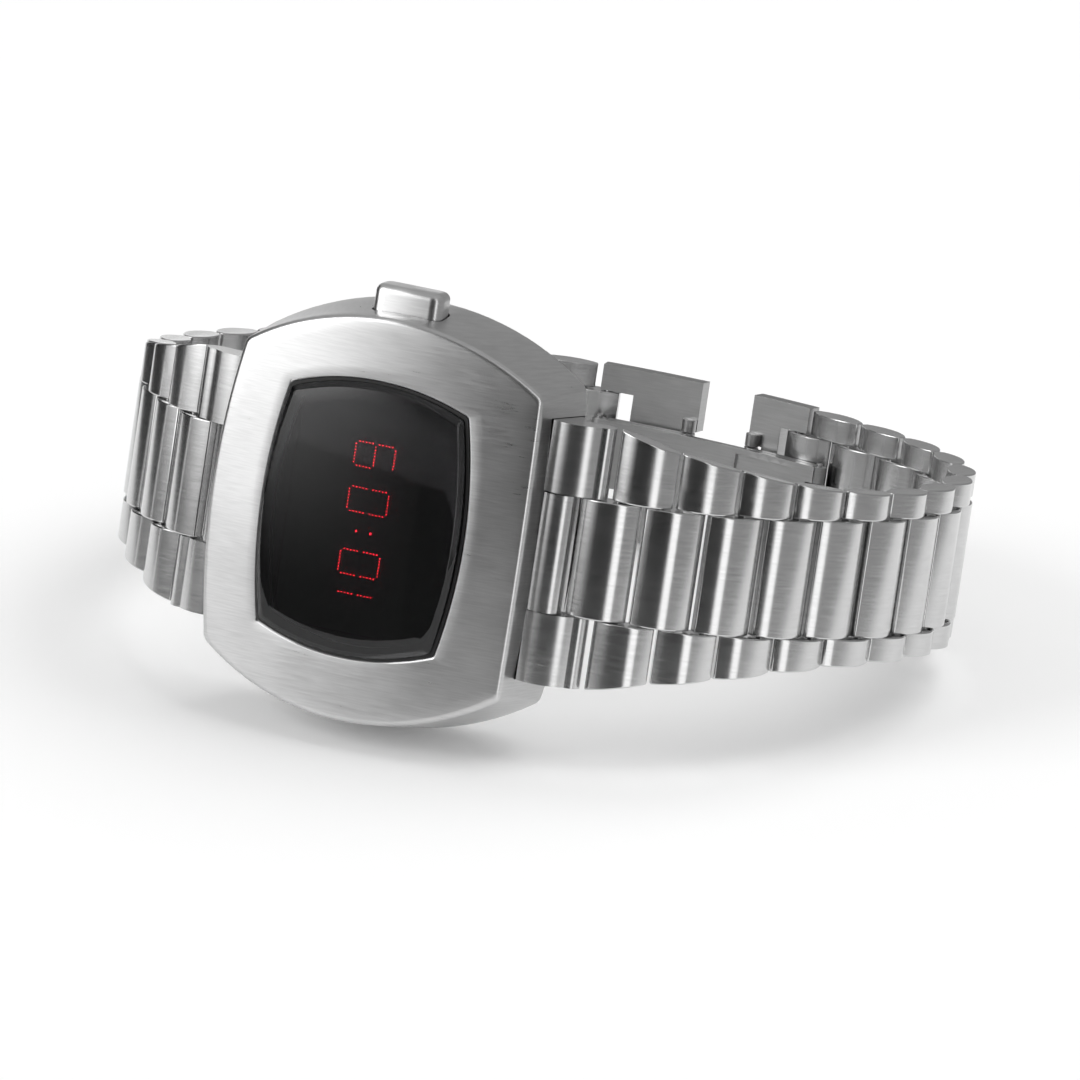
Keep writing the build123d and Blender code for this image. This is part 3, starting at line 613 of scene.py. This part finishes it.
# Backdrop: a wide sheet of pale paper, lit by the lamps as the watch is. What the camera,
# metal and glass see of it is lifted to white, more so far from the lamps, and it keeps
# the watch's shadow.
paper_reach, paper_colour = 6000.0, (0.92, 0.92, 0.92)
near_place, far_place, near_lift, far_lift = 0.3, 1.5, 0.1, 0.75
black, white = (0, 0, 0), (1, 1, 1)


def backdrop(tree):
    """Pale paper with its lift, which only the camera, metal and glass see."""
    away = node(tree, "ShaderNodeVectorMath", {"operation": "LENGTH"},
                {0: node(tree, "ShaderNodeNewGeometry")}, "Value")
    lift = node(tree, "ShaderNodeMapRange", {}, {
        "Value": away, "From Min": near_place, "From Max": far_place,
        "To Min": near_lift, "To Max": far_lift})
    camera_ray = node(tree, "ShaderNodeLightPath", {}, {}, "Is Camera Ray")
    seen = camera_ray + camera_ray.output("Is Glossy Ray") + camera_ray.output("Is Transmission Ray")
    return node(tree, "ShaderNodeBsdfPrincipled", {}, {
        "Base Color": opaque(paper_colour), "Roughness": 0.8, "Specular IOR Level": 0.1,
        "Emission Color": blend(tree, lift * seen, opaque(black), opaque(white)), "Emission Strength": 1.0})


bm = bmesh.new()
corners = ((-1, -1), (1, -1), (1, 1), (-1, 1))
bm.faces.new([bm.verts.new((x * paper_reach, y * paper_reach, 0)) for x, y in corners])
add_object("floor", bm, Matrix.Scale(mm, 4), finish("floor_white", backdrop), None)


# Lamps: two soft boxes in an evenly grey room, one overhead and one at the upper left.
# The overhead one stays out of the steel's reflections.
room_grey = (0.45, 0.45, 0.45)


def soft_lamp(name, place, size, strength):
    """A rectangular soft lamp that faces the watch."""
    data = bpy.data.lights.new(name, "AREA")
    data.shape = "RECTANGLE"
    data.size, data.size_y = size
    data.energy = strength
    lamp = bpy.data.objects.new(name, data)
    lamp.location = place
    lamp.rotation_euler = Vector(place).to_track_quat("Z", "Y").to_euler()
    bpy.context.scene.collection.objects.link(lamp)
    return lamp


overhead = soft_lamp("overhead", (0.3, 0.3, 1.0), (1.0, 0.9), 6.5)
overhead.visible_glossy = False
soft_lamp("upper_left", (-0.75, -0.8, 0.75), (0.6, 0.6), 5)
studio = bpy.data.worlds.new("studio")
studio.use_nodes = True
studio.node_tree.nodes["Background"].inputs["Color"].default_value = opaque(room_grey)
bpy.context.scene.world = studio


# Cards: black flags and pale panels that stand on the floor round the watch, as in a
# studio. They show only in its steel and glass, and give the links their bright bands.
card_foot, card_radius, card_steps = 0.5, 115, 12
glow_heights, glow_turns, glow_strength = (5, 70), (-97, -126), 3.3
dim = (0.02, 0.02, 0.02)


def card(name, turn_from, turn_to, height, material, reach=card_radius):
    """A curved card round part of the watch, from one turn to another in degrees."""
    bm = bmesh.new()
    turns = [math.radians(turn_from + (turn_to - turn_from) * step / card_steps)
             for step in range(card_steps + 1)]
    rows = [[bm.verts.new((reach * math.cos(turn), reach * math.sin(turn), z)) for turn in turns]
            for z in (card_foot, height)]
    for low, up in zip(zip(rows[0], rows[0][1:]), zip(rows[1], rows[1][1:])):
        bm.faces.new((low[0], low[1], up[1], up[0]))
    made = add_object(name, bm, Matrix.Scale(mm, 4), material, None)
    made.visible_camera = made.visible_diffuse = made.visible_shadow = made.visible_transmission = False


def ramp(tree, value, start, end):
    """A soft step from 0 to 1 as a value goes from start to end."""
    return node(tree, "ShaderNodeMapRange", {"interpolation_type": "SMOOTHSTEP"}, {
        "Value": value, "From Min": start, "From Max": end})


def graded(tree):
    """A glow that grows with height and with the turn round the watch."""
    x = node(tree, "ShaderNodeSeparateXYZ", {}, {"Vector": node(tree, "ShaderNodeNewGeometry")})
    turn = node(tree, "ShaderNodeMath", {"operation": "ARCTAN2"}, {0: x.output("Y"), 1: x})
    rise = ramp(tree, x.output("Z"), *(height * mm for height in glow_heights))
    side = ramp(tree, turn, *(math.radians(angle) for angle in glow_turns))
    glow = blend(tree, rise * side, opaque(dim), opaque(white))
    return node(tree, "ShaderNodeEmission", {}, {"Color": glow, "Strength": glow_strength})


def glowing(name, brightness):
    """A card's even glow."""
    return finish(name, lambda tree: node(tree, "ShaderNodeEmission", {}, {"Strength": brightness}))


card_black = glowing("card_black", 0.03)
card("front_flag", -99, -58, 150, card_black)
card("left_glow", -156, -99, 120, finish("card_glow", graded))
card("bright_strip", -55, -43, 150, glowing("card_bright", 1.6))
card("right_grey", -43, 110, 150, glowing("card_grey", 0.33))
card("left_flag", -205, -158, 90, card_black, 110)


# Camera: a long lens, placed in the watch's frame as the photograph was taken. Its three
# directions are given along the case's x, y and z, and its distances in millimetres.
across, upward, sight = (Vector(axis).normalized() for axis in (
    (0.9280, 0.3442, 0.1426), (-0.1928, 0.1161, 0.9744), (0.3189, -0.9317, 0.1741)))
eye_distance, aim_across, aim_down = 1478, 15.508, 1.617
eye = watch @ (sight * eye_distance)
aim = watch @ (across * aim_across - upward * aim_down)
back = (eye - aim).normalized()
right = watch.to_3x3() @ across
right = (right - back * right.dot(back)).normalized()
camera_data = bpy.data.cameras.new("camera")
camera_data.lens = 525.0
camera_data.sensor_width = 36.0
camera_data.clip_end = 20.0
camera = bpy.data.objects.new("camera", camera_data)
camera_axes = Matrix((right, back.cross(right), back)).transposed()
camera.matrix_world = Matrix.Translation(eye) @ camera_axes.to_4x4()
bpy.context.scene.collection.objects.link(camera)
bpy.context.scene.camera = camera
bpy.context.scene.view_settings.view_transform = "Standard"
